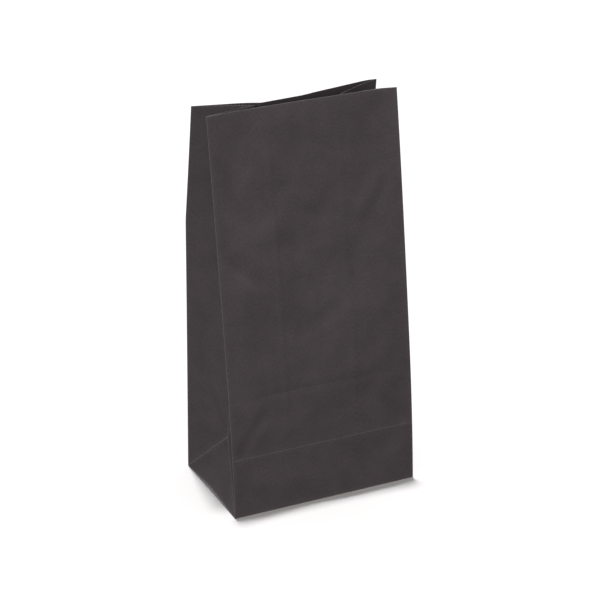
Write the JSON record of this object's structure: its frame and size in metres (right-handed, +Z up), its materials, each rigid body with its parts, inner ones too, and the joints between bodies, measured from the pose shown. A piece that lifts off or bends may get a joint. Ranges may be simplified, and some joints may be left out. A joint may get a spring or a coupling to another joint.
{
  "type": "paper bag",
  "caption": "Tall flat-bottomed self-opening paper bag with folded side gussets, standing open and empty with its mouth half closed, in plain dark paper.",
  "frame": {"origin": "centre of the base rectangle, on the surface the bag stands on", "axes": "+Z up towards the mouth, +X to the right along the front panel, +Y from the front panel to the back panel"},
  "size_m": [0.1982, 0.1225, 0.4043],
  "materials": {
    "paper": "matt dyed charcoal kraft paper"
  },
  "bodies": {
    "root": {"bag": "paper"}
  },
  "joints": []
}
